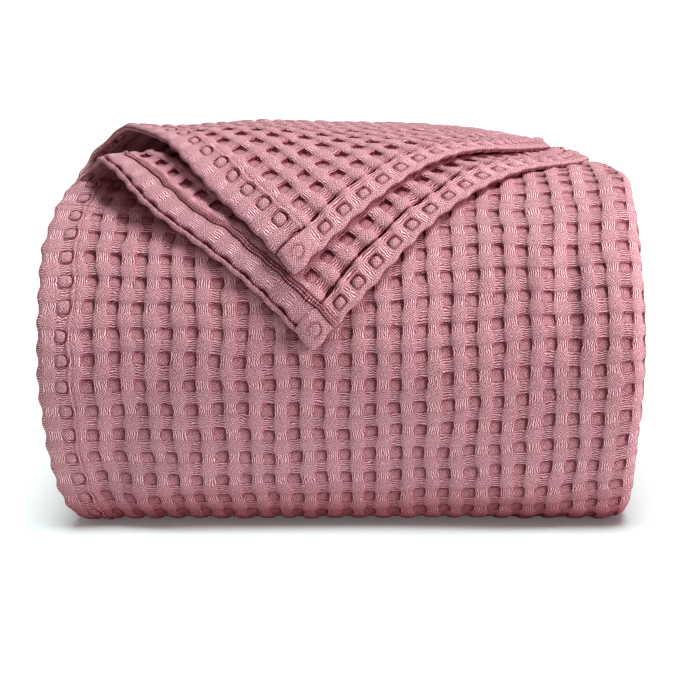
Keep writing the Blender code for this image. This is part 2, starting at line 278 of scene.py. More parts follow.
OUTER_SCALE = scale_at(OUTER_LEAF)
TOP_TABLE = quarter_table(TOP_ROUNDING * OUTER_SCALE, (1 - FRONT_LINE_HEIGHT) * PAD_HEIGHT * OUTER_SCALE)
FOOT_TABLE = quarter_table(FOOT_ROUNDING * OUTER_SCALE, FRONT_LINE_HEIGHT * PAD_HEIGHT * OUTER_SCALE)
TOP_TURN = TOP_TABLE[1][-1]
FOOT_TURN = FOOT_TABLE[1][-1]
BOTTOM_LENGTH = BACK_FOLD_START - FOOT_ROUNDING
BACK_FOLD_LENGTH = math.pi * (STRIP_THICKNESS - OUTER_LEAF)
INNER_BOTTOM_LENGTH = BACK_FOLD_START - CORE
INNER_TURN = math.pi / 2 * STRIP_THICKNESS / 2
INNER_TOP_LENGTH = INNER_END - CORE
STRIP_BELOW = (FOOT_TURN + BOTTOM_LENGTH + BACK_FOLD_LENGTH + INNER_BOTTOM_LENGTH + 2 * INNER_TURN
               + INNER_TOP_LENGTH)


def on_quarter(depth, angle, rounding, share, side):
    """A point on the rounded front at a depth: side is 1 above the foremost line and -1 below it."""
    scale = scale_at(depth)
    centre = PAD_HEIGHT * (FRONT_LINE_HEIGHT * scale + 0.5 * (1 - scale))
    up = centre + side * share * PAD_HEIGHT * scale * np.sin(angle)
    return depth + rounding * scale * (1 - np.cos(angle)), up


def section(s, depth):
    """Where points of the strip lie in the bundle's section, as distance back and height."""
    top_share = 1 - FRONT_LINE_HEIGHT
    inner = CORE - depth
    along = -s
    legs = [(s >= TOP_TURN, (depth + TOP_ROUNDING * scale_at(depth) + s - TOP_TURN, PAD_HEIGHT - depth))]
    brow = np.interp(s, TOP_TABLE[1], TOP_TABLE[0])
    legs.append((s >= 0, on_quarter(depth, brow, TOP_ROUNDING, top_share, 1)))
    foot = np.interp(along, FOOT_TABLE[1], FOOT_TABLE[0])
    legs.append((along <= FOOT_TURN, on_quarter(depth, foot, FOOT_ROUNDING, FRONT_LINE_HEIGHT, -1)))
    run = along - FOOT_TURN
    foot_end = depth + FOOT_ROUNDING * scale_at(depth)
    back = foot_end + (BACK_FOLD_START - foot_end) * run / BOTTOM_LENGTH
    legs.append((run <= BOTTOM_LENGTH, (back, depth)))
    run = run - BOTTOM_LENGTH
    turn = math.pi * run / BACK_FOLD_LENGTH
    radius = STRIP_THICKNESS - depth
    roll = (BACK_FOLD_START + radius * np.sin(turn), STRIP_THICKNESS - radius * np.cos(turn))
    legs.append((run <= BACK_FOLD_LENGTH, roll))
    run = run - BACK_FOLD_LENGTH
    foot_end = inner + FOOT_ROUNDING * scale_at(inner)
    back = BACK_FOLD_START + (foot_end - BACK_FOLD_START) * run / INNER_BOTTOM_LENGTH
    legs.append((run <= INNER_BOTTOM_LENGTH, (back, inner)))
    run = run - INNER_BOTTOM_LENGTH
    angle = math.pi / 2 * (1 - run / INNER_TURN)
    legs.append((run <= INNER_TURN, on_quarter(inner, angle, FOOT_ROUNDING, FRONT_LINE_HEIGHT, -1)))
    run = run - INNER_TURN
    angle = math.pi / 2 * run / INNER_TURN
    legs.append((run <= INNER_TURN, on_quarter(inner, angle, TOP_ROUNDING, top_share, 1)))
    run = run - INNER_TURN
    top_start = inner + TOP_ROUNDING * scale_at(inner)
    back = top_start + (INNER_END - top_start) * run / INNER_TOP_LENGTH
    legs.append((run > 0, (back, PAD_HEIGHT - inner)))
    wheres, points = zip(*legs)
    backs, ups = zip(*points)
    return np.select(wheres, backs), np.select(wheres, ups)


def soften(x, back, up):
    """Bend points with the soft outline of the whole bundle."""
    heights, lefts, rights = zip(*SIDE_INSETS)
    share = up / PAD_HEIGHT
    left = np.interp(share, heights, lefts)
    right = np.interp(share, heights, rights)
    across = np.clip(x / FOLDED_WIDTH, 0, 1)
    behind = across ** 3 * rise(back, TAPER_START, TAPER_LENGTH)
    new_x = x + left * (1 - across) ** 3 - right * across ** 3 - BACK_NARROWING * behind
    lift = np.clip(share, 0, 1)
    wave = 0
    for size, wave_across, wave_up, phase in WAVES:
        wave = wave + size * np.sin(math.tau * (x / wave_across + up / wave_up) + phase)
    return np.stack([new_x, back + wave * lift, up * (1 - BACK_TAPER * behind) + wave * lift * 0.5], axis=-1)


def place(x, s, depth):
    x, s, depth = np.broadcast_arrays(x, s, depth)
    back, up = section(s, depth)
    return soften(x, back, up)


def leaf_depth(leaf):
    return (leaf - 0.5) * PITCH


NEAR = CLOTH_THICKNESS / 2
FAR = FOLDED_WIDTH - CLOTH_THICKNESS / 2
TURN_RADIUS = 1.5 * PITCH  # the widest turn of a leaf, past two others
TURN_X = FAR - TURN_RADIUS  # where the leaves start to turn at the right side
LEFT_TURN_X = NEAR + TURN_RADIUS  # and at the left side
SPAN = TURN_X - NEAR
WRAP_WIDTH = SPAN + TURN_RADIUS * math.pi


def fold_line(fold, x):
    """Path length of a slanting fold line at a place across the bundle."""
    across = np.clip(x / FOLDED_WIDTH, 0, 1)
    return fold["start"] + FOLDED_WIDTH * (fold["slope"] * across + fold["curl"] * across ** 2)


def pressing(x):
    """Share of their spacing by which the flaps are pressed down at their right-hand ends."""
    return PRESS * rise(x, PRESS_START, PRESS_LENGTH)


def loop_radius(fold, x):
    """Radius of the half-turn at a slanting fold line: open at the left and pressed at the right."""
    opened = (LOOP_LEFT - PITCH / 2) * smooth(1 - x / LOOP_REACH)
    return opened + PITCH * (fold["leaf"] - 0.5 - 0.5 * fold["leaf"] * pressing(x))


def flap_height(fold, x, s):
    """Height of a flap above the bundle's outer face."""
    lower = FOLDS[1]
    settle = 1 - smooth((fold_line(lower, x) - s) / BULGE_LENGTH)
    bulge = 2 * loop_radius(lower, x) - PITCH * (1 - pressing(x))
    return bulge * settle + PITCH * (fold["leaf"] * (1 - pressing(x)) - 0.5)


def hem_point(fold, share):
    """Points on a flap's end hem, from its tip up to the right-hand end of the fold line."""
    angle = math.radians(fold["hem_angle"])
    straight = (fold["hem_x"] - fold["tip_x"]) / math.cos(angle) / FOLDED_WIDTH
    run = np.minimum(share, straight) * FOLDED_WIDTH
    over = np.clip((share - straight) / (1 - straight), 0, 1)
    x = fold["tip_x"] + run * math.cos(angle)
    s = fold["tip_s"] + run * math.sin(angle)
    end_x = FOLDED_WIDTH - fold["inset"]
    end_s = fold_line(fold, end_x) - PITCH
    return x + (end_x - x) * np.sin(over * math.pi / 2), s + (end_s - s) * over


def ruled_length(fold, u):
    """Length of a flap's column of the weave, from its end hem up to the fold line."""
    x = NEAR + u
    hem_x, hem_s = hem_point(fold, u / SPAN)
    return np.hypot(hem_x - x, hem_s - fold_line(fold, x))


def flap_length(fold, u):
    """Length of that column with the fold line's half-turn."""
    return ruled_length(fold, u) + math.pi * loop_radius(fold, NEAR + u)


# Unevenness. Each cell has its own small differences, and slow waves bend the rows and columns.
SHIFT_U, SHIFT_W, LEVEL, DEPTH = range(4)
JITTER = np.random.default_rng(11).uniform(-1, 1, (4, 97, 89))


def jitter(kind, a, b):
    """An uneven value from -1 to 1 that is the same all over one cell."""
    rows, columns = JITTER[kind].shape
    return JITTER[kind][np.floor(a).astype(int) % rows, np.floor(b).astype(int) % columns]


def wander(a, b, phase):
    """A slow wave over the cloth, about -1 to 1, in a pattern that doesn't repeat."""
    first = np.sin(0.83 * a + 1.31 * b + phase)
    second = np.sin(1.93 * a - 0.71 * b + 2.3 * phase)
    third = np.sin(0.37 * a + 2.57 * b + 0.7 * phase + first)
    return (first + second + third) / 3


def wobbled(u, w):
    """Cloth places after their small sideways shifts, as lengths."""
    a = u / CELL - NODE_AT
    b = w / CELL - NODE_AT
    inside = rise(np.minimum(u, w) / CELL, CALM_EDGE, 1)
    side_wave = -EDGE_WAVE * np.cos(math.tau * b) * (1 - smooth(u / CELL / EDGE_WAVE_REACH))
    end_wave = -EDGE_WAVE * np.cos(math.tau * a) * (1 - smooth(w / CELL / EDGE_WAVE_REACH))
    sway_u = COLUMN_SWAY * np.sin(math.tau * a) * np.cos(math.tau * b)
    sway_w = ROW_SWAY * np.sin(math.tau * b) * np.cos(math.tau * a)
    pit = np.sin(math.pi * (a - np.floor(a))) * np.sin(math.pi * (b - np.floor(b)))
    shift_u = sway_u + WANDER * wander(a, b, 0.3) + CELL_SHIFT * jitter(SHIFT_U, a, b) * pit
    shift_w = sway_w + WANDER * wander(a, b, 4.1) + CELL_SHIFT * jitter(SHIFT_W, a, b) * pit
    return u + CELL * (inside * shift_u + side_wave), w + CELL * (inside * shift_w + end_wave)


def body_weave(a, b, depth, tilt=(0, 0), rounding=ROUNDING_DROP):
    """Relief of the weave with pits of a given depth, and masks: upright and level loose threads, groove.

    tilt says how steeply a pit's floor drops towards greater a and b, and on which side its painted shadow
    line is darker; rounding says how far the ridges' flanks drop.
    """
    across = np.abs(a - np.round(a))
    along = np.abs(b - np.round(b))
    column = 1 - rise(across, WALL, WALL_WIDTH)
    row = 1 - rise(along, WALL, WALL_WIDTH)
    node_x = 1 - rise(across, NODE_CORE, NODE_FLANK)
    node_y = 1 - rise(along, NODE_CORE, NODE_FLANK)
    column_height = -COLUMN_DROP * (1 - node_y) - COLUMN_ROUNDER * rounding * (across / WALL) ** 2
    row_height = -BRIDGE_DROP * (1 - node_x) - rounding * (along / WALL) ** 2
    level = LEVEL_JITTER * jitter(LEVEL, a + 0.5, b + 0.5)
    floor_slope = (tilt[0] * (a - np.floor(a) - 0.5) + tilt[1] * (b - np.floor(b) - 0.5)) / (0.5 - WALL)
    deep = depth * (1 + DEPTH_JITTER * jitter(DEPTH, a, b) + PIT_SLOPE * np.clip(floor_slope, -1, 1))
    deep = np.minimum(deep, DEEPEST)
    solid = np.maximum(column_height - deep * (1 - column), row_height - deep * (1 - row)) + level
    upright = column * rise(along, LOOSE_START, LOOSE_FADE)
    flat = row * rise(across, LOOSE_START, LOOSE_FADE)
    inside = np.minimum(across, along) - WALL - WALL_WIDTH
    # Painted shadow line around each pit's floor, darker on the side where light from the upper right casts
    # its shadow.
    darker = np.clip(GROOVE_SHADOW_SIDE * floor_slope, -1, 1)
    groove_shade = bell(inside + GROOVE_SHADE_OUT, GROOVE_SHADE_WIDTH) * (GROOVE_SHADE_EVEN + (1 - GROOVE_SHADE_EVEN) * darker)
    return np.maximum(solid, -deep), upright, flat, groove_shade


def ring(out, beside):
    """The sunk outline, from 0 to 1, of a pit that a hem's lower layer presses up, and the pit's dome.

    out is the distance from the pit's middle, away from the hem's edge: the outline is deeper on that side.
    The outline also serves as a mask of painted shade.
    """
    reach = (np.abs(beside) ** RING_SQUARENESS + np.abs(out) ** RING_SQUARENESS) ** (1 / RING_SQUARENESS)
    outline = bell(reach - RING, RING_LINE) * (RING_EVEN + (1 - RING_EVEN) * np.tanh(5 * out + 3 * beside))
    return outline, 1 - rise(reach, DOME_CORE, DOME_FLANK)


def end_hem_weave(edge, a):
    """Relief of an end hem: a row of pressed-up pits, and a row of nodes along the hem's inner side."""
    beside = a - np.floor(a) - 0.5
    between = rise(np.abs(beside), HEM_NODE_SIDE, HEM_STEP)
    inner = rise(edge, HEM_NODE_START, HEM_STEP)
    upright = between * rise(edge, HEM_THREAD_START, HEM_STEP) * (1 - inner)
    flat = (1 - between) * inner
    outline, dome = ring(edge - RING_AT, beside)
    height = HEM_NODE_HEIGHT * between * inner - HEM_UPRIGHT_DROP * upright - HEM_LEVEL_DROP * flat
    return height - HEM_DROP - RING_DEPTH * outline + DOME * dome, upright, flat, outline


def reverse_hem_weave(edge, b):
    """Relief of a side hem's reverse: one column of nodes, and a thin cord outside a gaping slit."""
    body, upright, flat, _ = body_weave(edge - REVERSE_NODE_AT, b, HEM_PITS)
    gaping = bell(b - np.floor(b) - 0.5, SLIT_LENGTH)
    slit = bell(edge - CORD, SLIT_WIDTH + SLIT_GAPE * gaping) * (SLIT_EVEN + (1 - SLIT_EVEN) * gaping)
    cord = 1 - rise(edge, CORD, CORD_FLANK)
    ribs = 0.5 + 0.5 * np.cos(CORD_RIBS * math.tau * b)
    height = body * (1 - cord) - RIB_DEPTH * cord * (1 + ribs) - SLIT_DEPTH * slit
    # The slit also comes back as a mask of painted shade.
    return height, upright * (1 - cord), flat * (1 - cord), slit


def side_hem_weave(a, b, strength):
    """Relief of a side hem: the weave goes on, but its pits are pressed up and outlined."""
    body, upright, flat, _ = body_weave(a, b, HEM_PITS)
    outline, dome = ring(a - 0.5, b - np.floor(b) - 0.5)
    outline = strength * outline
    return body - RING_DEPTH * outline + DOME * dome, upright, flat, outline


def corner_weave(side_edge, end_edge):
    """Relief of the corner where two hems cross: a pillow with one ringed dot."""
    reach = np.hypot(side_edge - CORNER_AT, end_edge - RING_AT)
    outline = bell(reach - RING, CORNER_RING_LINE)
    pillow = PILLOW_HEIGHT * bell(reach, PILLOW_WIDTH) - CORNER_DROP
    return pillow - CORNER_RING_DEPTH * outline, 0, 0, CORNER_RING_SHADE * outline


def seam(edge, hem, a, b):
    """The lip along the inner side of a hem with the crease beside it, and the crease alone from 0 to 1."""
    line = hem + SEAM_WANDER * wander(a * 2.1, b * 2.3, 1.7)
    lip = LIP * bell(edge - line + LIP_WIDTH, LIP_WIDTH)
    crease = bell(edge - line - SEAM_WIDTH, SEAM_WIDTH)
    # The crease alone comes back as a mask of painted shade.
    return lip - SEAM_DEPTH * crease, crease


def twin_seam(edge, hem, a, b):
    """Two thin ridges along the inner side of a side hem's reverse, with a crease on each side of both."""
    offset = edge - hem - TWIN_WANDER * wander(a * 2.1, b * 1.1, 1.7)
    ridges = sum(bell(offset - middle, TWIN_RIDGE_WIDTH) for middle in TWIN_RIDGES)
    creases = sum(bell(offset - middle, TWIN_CREASE_WIDTH) for middle in TWIN_CREASES)
    # The creases also come back as a mask of painted shade.
    return 2 * LIP * ridges - 0.5 * SEAM_DEPTH * creases, TWIN_CREASE_SHADE * creases


def relief(u, w, reverse, side):
    """Height of the cloth's face below its ridges, with masks for the finish: lift, upright, level, groove.

    reverse tells the wrong side of a corner, where the hems' turned-in edges show with a lip and a crease.
    side is 1 on the turned-down corners and -1 elsewhere.
    lift paints shade on sunk places, and groove_shade paints shadow lines in pits and creases.
    """
    a = u / CELL - NODE_AT
    b = w / CELL - NODE_AT
    on_corner = side > 0
    depth = PIT_DEPTH
    rounding = ROUNDING_DROP
    if on_corner:
        stretched = smooth((SPAN - u) / STRETCH_LENGTH)
        depth = depth * (PRESSED_FLAT + (FLAP_DEEPER - PRESSED_FLAT) * stretched)
        rounding = rounding * FLAP_ROUNDER
    if reverse:
        side_weave = reverse_hem_weave(u / CELL, b)
    else:
        side_weave = side_hem_weave(a, b, 1 if on_corner else FRONT_RINGS)
    # The tilt also sets which side of each pit gets the darker painted shadow: the upper right, as the light
    # falls.
    body = body_weave(a, b, depth, (PIT_TILT, PIT_TILT * side), rounding)
    weaves = (body, side_weave, end_hem_weave(w / CELL, a), corner_weave(u / CELL, w / CELL))
    side_zone = 1 - rise(u / CELL, SIDE_HEM, HEM_FADE)
    end_zone = 1 - rise(w / CELL, END_HEM, HEM_FADE)
    zones = ((1 - side_zone) * (1 - end_zone), side_zone * (1 - end_zone), end_zone * (1 - side_zone),
             side_zone * end_zone)
    height, upright, flat, groove_shade = (sum(value * zone for value, zone in zip(values, zones))
                                     for values in zip(*weaves))
    side_seam, side_crease_shade = (twin_seam if reverse else seam)(u / CELL, SIDE_HEM, a, b)
    end_seam, end_crease_shade = seam(w / CELL, END_HEM, a, b)
    side_share = 1 if reverse else RIGHT_SIDE_SEAM * (1 - end_zone)
    end_share = 1 - side_zone if reverse else RIGHT_SIDE_SEAM + (1 - RIGHT_SIDE_SEAM) * side_zone
    height = height + HEM_EXTRA * np.maximum(side_zone, end_zone)
    height = height + side_seam * side_share + end_seam * end_share
    # Painted shade lines in the hems' creases, rings and slits.
    groove_shade = np.maximum(groove_shade, np.maximum(side_crease_shade * side_share, end_crease_shade * end_share))
    if on_corner:
        puckers = bell(w / CELL - PUCKER_AT, PUCKER_WIDTH) * np.cos(math.tau * a) * (1 - side_zone)
        height = (height + PUCKER_HEIGHT * puckers) * (CALMED + (1 - CALMED) * stretched)
        groove_shade = groove_shade * FLAP_GROOVE_SHADE
    # lift: 1 on raised places and 0 on sunk ones, where the colour paints shade into the pits
    lift = np.clip(1 + height / RELIEF_SPAN, 0, 1)
    return height, lift, upright, flat, groove_shade


def edge_factor(u, w):
    """Share of the thickness that is left near the cloth's free edges, which are round."""
    inward = np.clip(np.minimum(u, w) / EDGE_ROUND, 0, 1)
    return np.maximum(EDGE_LEAST, np.sqrt(1 - (1 - inward) ** 2))


# Soft creases of the front: x, s, direction in degrees, length, width, and height or depth.
CREASES = (
    (0.330, 0.060, 84, 0.075, 0.010, -0.0033),
    (0.316, 0.075, 80, 0.060, 0.008, 0.0021),
    (0.050, -0.030, 62, 0.090, 0.014, -0.0033),
    (0.075, -0.065, 30, 0.070, 0.012, 0.0027),
    (0.230, -0.045, 8, 0.110, 0.014, -0.0024),
    (0.300, -0.070, -14, 0.080, 0.012, 0.0024),
    (0.255, 0.050, 55, 0.060, 0.010, -0.00225),
    (0.355, 0.170, 70, 0.070, 0.011, -0.0027),
)
CREASE_SWING = 0.12  # how far a crease swings from side to side, as a share of its length
CREASE_BEND = 0.03


def crease_height(x, s):
    """Soft troughs and ridges of the bundle's face."""
    total = 0
    for crease_x, crease_s, degrees, length, width, size in CREASES:
        angle = math.radians(degrees)
        along = (x - crease_x) * math.cos(angle) + (s - crease_s) * math.sin(angle)
        beside = (s - crease_s) * math.cos(angle) - (x - crease_x) * math.sin(angle)
        beside = beside + CREASE_SWING * along * np.sin(along / CREASE_BEND)
        total = total + size * bell(along, length / 2) * bell(beside, width)
    return total


def cloth_lines(low, high, per_cell, side=False):
    """Places between two lengths of cloth, closest together at the walls of the weave's pits.

    side says that the lengths are measured from a side hem, and not from an end hem.
    """
    first = math.floor(low / CELL - NODE_AT) - 1
    last = math.ceil(high / CELL - NODE_AT) + 1
    body = [(NODE_AT + cell + part) * CELL for cell in range(first, last) for part in CELL_LINES[per_cell]]
    body = [value for value in body if value > (SIDE_HEM_CLEAR if side else END_HEM_CLEAR) * CELL]
    hem = [value * CELL for value in (SIDE_HEM_LINES if side else END_HEM_LINES).get(per_cell, ())]
    gap = LINE_GAP * CELL
    inside = [value for value in sorted(hem + body) if low + gap < value < high - gap]
    return np.array([low] + inside + [high])


def row_start(u):
    """Cloth from the foremost line to the end hem: the rows climb towards the right."""
    return LEAF_RUN + ROW_RISE * np.maximum(0, u - FOLDED_WIDTH / 2)


def wrap_position(u, w):
    """Leaf 1, the outermost, with its turn around the right side."""
    turn = np.clip((u - SPAN) / TURN_RADIUS, 0, math.pi)
    x = NEAR + np.minimum(u, SPAN) + TURN_RADIUS * np.sin(turn)
    return x, row_start(u) - w, leaf_depth(1) + TURN_RADIUS * (1 - np.cos(turn))


def wrap_top_limit(u):
    """Least distance from the end hem that leaf 1 keeps before it turns over the slanting fold."""
    end = fold_line(FOLDS[1], NEAR + np.minimum(u, SPAN))
    past = np.clip((u - SPAN) / (TURN_RADIUS * math.pi), 0, 1)
    return row_start(u) - (end + (TOP_END - end) * past)


def flap_position(fold, u, w):
    """A leaf's turned-down corner, with its half-turn.

    It goes on a little past the cloth's ends, so that its slopes can be measured there.
    """
    hem_angle = math.radians(fold["hem_angle"])
    x = NEAR + np.clip(u, -0.001, SPAN)
    s = fold_line(fold, x)
    share = np.clip(u / SPAN, 0, 1)
    hem_x, hem_s = hem_point(fold, share)
    length = ruled_length(fold, np.clip(u, 0, SPAN))
    radius = loop_radius(fold, x)
    down = np.clip(1 - w / length, 0, 1.02)
    bow = fold["bow"] * (1 - share) ** 2 * np.sin(math.pi * np.clip(down, 0, 1))
    flap_x = x + (hem_x - x) * down + bow * math.cos(hem_angle)
    flap_s = s + (hem_s - s) * down + bow * math.sin(hem_angle)
    side_sag = (1 - smooth(u / SIDE_SAG_WIDTH)) * rise(down, SAG_START, SAG_RUN)
    end_sag = (1 - smooth(w / END_SAG_WIDTH)) * smooth(length / SHORT_CLOTH)
    sag = np.maximum(SAG * side_sag, (SAG + RIGHT_SAG * share ** 3) * end_sag)
    flap_depth = -flap_height(fold, flap_x, flap_s) + sag
    turn = np.clip(math.pi - (w - length) / radius, -0.1, math.pi)
    lean = np.arctan(fold["slope"] + 2 * fold["curl"] * x / FOLDED_WIDTH)
    reach = radius * np.sin(turn)
    looping = w > length
    tuck = fold["tuck"] * (1 - share) ** TUCK_FADE
    draw = fold["draw"] * share ** DRAW_FADE
    loop_x = x - reach * np.sin(lean) + tuck * np.sin(turn / 2) - draw * smooth(turn * 2 / math.pi)
    flap_x = flap_x + tuck * (1 - smooth(down / TUCK_REACH)) - draw * (1 - down)
    return (np.where(looping, loop_x, flap_x),
            np.where(looping, s + reach * np.cos(lean), flap_s),
            np.where(looping, leaf_depth(fold["leaf"]) - radius * (1 - np.cos(turn)), flap_depth))


# The inner leaves in the order in which the cloth runs through them, each with the side of its next turn.
CHAIN = ((4, "left"), (5, "right"), (6, "left"), (3, "right"), (2, None))
LEAF_THAT_SHOWS = 3  # the one whose weave can be seen on top
HIDDEN_STEPS = (0.25, 0.5, 0.75)  # shares of a leaf's width that get a column where nothing shows
LEAF_2_STEPS = (0, 0.02, 0.05, 0.12, 0.4, 0.7)
TURN_COLUMNS = 8  # columns in a cell's length of a turn, and the least in a whole turn
LEAST_TURN_COLUMNS = 6


def chain_columns(dense):
    """Columns of the inner leaves: x, depth, u, end of the leaf on top, one column after the other."""
    columns = []
    run = WRAP_WIDTH
    for (leaf, side), (next_leaf, _) in zip(CHAIN, CHAIN[1:] + CHAIN[-1:]):
        depth = leaf_depth(leaf)
        left_x = LEFT_TURN_X if leaf > 2 else NEAR
        start_x, end_x = (left_x, TURN_X) if side == "right" else (TURN_X, left_x)
        length = TURN_X - left_x
        if leaf == 2:
            near_hem = 1 - cloth_lines(0, 2 * CELL, 6, True)[::-1] / length
            steps = np.concatenate([LEAF_2_STEPS, near_hem])
        elif dense and leaf == LEAF_THAT_SHOWS:
            steps = (cloth_lines(run, run + length, 6) - run) / length
        else:
            near_turn = (cloth_lines(run, run + 1.2 * CELL, 6) - run) / length
            steps = np.concatenate([near_turn, HIDDEN_STEPS, 1 - near_turn[::-1]])
        for step in steps:
            x = start_x + (end_x - start_x) * step
            end = fold_line(FOLDS[2], x) if leaf == 2 else TOP_END
            cloth_u = x - NEAR if leaf == 2 else run + length * step
            columns.append((x, depth, cloth_u, float(end)))
        run += length
        if side is None:
            continue
        next_depth = leaf_depth(next_leaf)
        radius = abs(next_depth - depth) / 2
        middle = (depth + next_depth) / 2
        next_end = float(fold_line(FOLDS[2], TURN_X)) if next_leaf == 2 else TOP_END
        outward = 1 if side == "right" else -1
        toward = 1 if next_depth > depth else -1
        count = max(LEAST_TURN_COLUMNS, round(radius * math.pi / CELL * TURN_COLUMNS))
        for step in range(1, count):
            share = step / count
            x = end_x + outward * radius * math.sin(math.pi * share)
            turn_depth = middle - toward * radius * math.cos(math.pi * share)
            turn_end = TOP_END + (next_end - TOP_END) * share
            columns.append((x, turn_depth, run + radius * math.pi * share, turn_end))
        run += radius * math.pi
    return np.array(columns).T


def unit(vectors):
    return vectors / np.maximum(np.linalg.norm(vectors, axis=-1, keepdims=True), 1e-12)


def normals_of(position, u, w):
    """The cloth's normals, from its own slopes at each place."""
    step = 0.0002
    along_u = place(*position(u + step, w)) - place(*position(u - step, w))
    along_w = place(*position(u, w + step)) - place(*position(u, w - step))
    return unit(np.cross(along_u, along_w))


def grid_faces(ids):
    """Quads of a grid of vertex numbers, with triangles where a column has already ended."""
    a, b, c, d = ids[:-1, :-1], ids[:-1, 1:], ids[1:, 1:], ids[1:, :-1]
    left_gone = a == d
    right_gone = b == c
    quads = np.stack([a, b, c, d], -1)[~left_gone & ~right_gone]
    lefts = np.stack([a, b, c], -1)[left_gone & ~right_gone]
    rights = np.stack([a, b, d], -1)[right_gone & ~left_gone]
    return quads, np.concatenate([lefts, rights])


def rim_edges(quads, triangles):
    """Directed edges of the faces that only one face uses."""
    four_sides = [quads[:, [corner, (corner + 1) % 4]] for corner in range(4)]
    three_sides = [triangles[:, [corner, (corner + 1) % 3]] for corner in range(3)]
    edges = np.concatenate(four_sides + three_sides)
    size = edges.max() + 1
    forward = edges[:, 0] * size + edges[:, 1]
    backward = edges[:, 1] * size + edges[:, 0]
    return edges[~np.isin(forward, backward)]


def mesh_from(name, shift, points, faces, uv, masks, sharp):
    """A mesh from arrays: faces is a list of arrays, one for each number of corners."""
    data = bpy.data.meshes.new(name)
    points = points + shift
    corners = np.concatenate([group.ravel() for group in faces])
    totals = np.concatenate([np.full(len(group), group.shape[1]) for group in faces])
    data.vertices.add(len(points))
    data.vertices.foreach_set("co", points.astype(np.float32).ravel())
    data.loops.add(len(corners))
    data.loops.foreach_set("vertex_index", corners.astype(np.int32))
    data.polygons.add(len(totals))
    data.polygons.foreach_set("loop_start", np.concatenate([[0], np.cumsum(totals)[:-1]]).astype(np.int32))
    data.update(calc_edges=True)
    layer = data.uv_layers.new(name="weave")
    layer.data.foreach_set("uv", uv[corners].astype(np.float32).ravel())
    colour = data.color_attributes.new("relief", "FLOAT_COLOR", "POINT")
    colour.data.foreach_set("color", masks.astype(np.float32).ravel())
    ends = np.zeros(len(data.edges) * 2, np.int32)
    data.edges.foreach_get("vertices", ends)
    ends = np.sort(ends.reshape(-1, 2), axis=1)
    wanted = np.sort(sharp, axis=1)
    size = len(points)
    marked = np.isin(ends[:, 0] * size + ends[:, 1], wanted[:, 0] * size + wanted[:, 1])
    data.attributes.new("sharp_edge", "BOOLEAN", "EDGE").data.foreach_set("value", marked)
    data.shade_smooth()
    data.validate()
    return data


def shell(mid, normal, u, w, ids, side, back_every=1, extra=0, reverse=False):
    """Both faces and the rim of a stretch of cloth, from its middle surface.

    side is 1 where the fine face lies along the normals, and -1 where it lies against them.
    """
    height, *masks = relief(u, w, reverse, side)
    back_height, *back_masks = relief(u + 0.5 * CELL, w + 0.5 * CELL, False, side)
    edge = edge_factor(u, w)
    outward = normal * side
    half = CLOTH_THICKNESS / 2
    face = mid + outward * ((half + height) * edge + extra)[..., None]
    back = mid - outward * ((half + back_height * BACK_RELIEF) * edge - extra)[..., None]
    rows, columns = ids.shape
    count = rows * columns
    quads, triangles = grid_faces(ids)
    if side < 0:
        quads, triangles = quads[:, ::-1], triangles[:, ::-1]
    rim = rim_edges(quads, triangles)
    if back_every == 1:
        faces = [quads, quads[:, ::-1] + count, triangles, triangles[:, ::-1] + count,
                 np.stack([rim[:, 1], rim[:, 0], rim[:, 0] + count, rim[:, 1] + count], -1)]
    else:
        row_picks = sorted(set(range(0, rows, back_every)) | {rows - 1})
        column_picks = sorted(set(range(0, columns, back_every)) | {columns - 1})
        coarse, _ = grid_faces(ids[np.ix_(row_picks, column_picks)] + count)
        if side > 0:
            coarse = coarse[:, ::-1]
        faces = [quads, coarse] + long_rims(ids, row_picks, column_picks, count, side)
    free = (np.minimum(u, w) < TOUCHING).ravel()
    sharp = rim[~(free[rim[:, 0]] & free[rim[:, 1]])]
    points = np.concatenate([face.reshape(-1, 3), back.reshape(-1, 3)])
    uv = np.stack([u / CELL - NODE_AT, w / CELL - NODE_AT], -1).reshape(-1, 2)
    masks = [np.stack([mask.ravel() for mask in group], -1) for group in (masks, back_masks)]
    return dict(points=points, faces=faces, uv=np.concatenate([uv, uv + 0.5]), masks=np.concatenate(masks),
                sharp=np.concatenate([sharp, sharp + count]))


def long_rims(ids, row_picks, column_picks, count, side):
    """Rim faces between a fine edge and a coarse one, grouped by their number of corners."""
    chains = []
    for low, high in zip(column_picks, column_picks[1:]):
        chains.append((ids[0, low:high + 1], 1))
        chains.append((ids[-1, low:high + 1], -1))
    for low, high in zip(row_picks, row_picks[1:]):
        chains.append((ids[low:high + 1, 0], -1))
        chains.append((ids[low:high + 1, -1], 1))
    groups = {}
    for chain, way in chains:
        face = list(chain[::-1]) + [chain[0] + count, chain[-1] + count]
        if way * side < 0:
            face = face[::-1]
        groups.setdefault(len(face), []).append(face)
    return [np.array(group) for group in groups.values()]


def whole_ids(shape):
    return np.arange(shape[0] * shape[1]).reshape(shape)


def ended_ids(w, limit, keep_above):
    """Vertex numbers of a grid whose columns stop at a limit: all the rows past it share one vertex."""
    ids = whole_ids(w.shape)
    past = w <= limit if keep_above else w >= limit
    for column in range(w.shape[1]):
        rows = np.flatnonzero(past[:, column])
        if len(rows):
            ids[rows, column] = ids[rows[-1] if keep_above else rows[0], column]
    return ids


def leaf_shell(position, u_lines, w_lines, side, back_every=1, low=None, high=None, creases=False,
               reverse=False):
    """A stretch of cloth between two sets of lines, stopped at a slanting limit if there is one."""
    u, w = np.meshgrid(u_lines, w_lines)
    ids = whole_ids(u.shape)
    if low:
        w = np.maximum(w, low(u))
        ids = ended_ids(w, low(u), True)
    if high:
        w = np.minimum(w, high(u))
        ids = ended_ids(w, high(u), False)
    moved_u, moved_w = wobbled(u, w)
    x, s, depth = position(moved_u, moved_w)
    extra = crease_height(x, s) if creases else np.zeros_like(u)
    normal = normals_of(position, moved_u, moved_w)
    return shell(place(x, s, depth), normal, u, w, ids, side, back_every, extra, reverse)


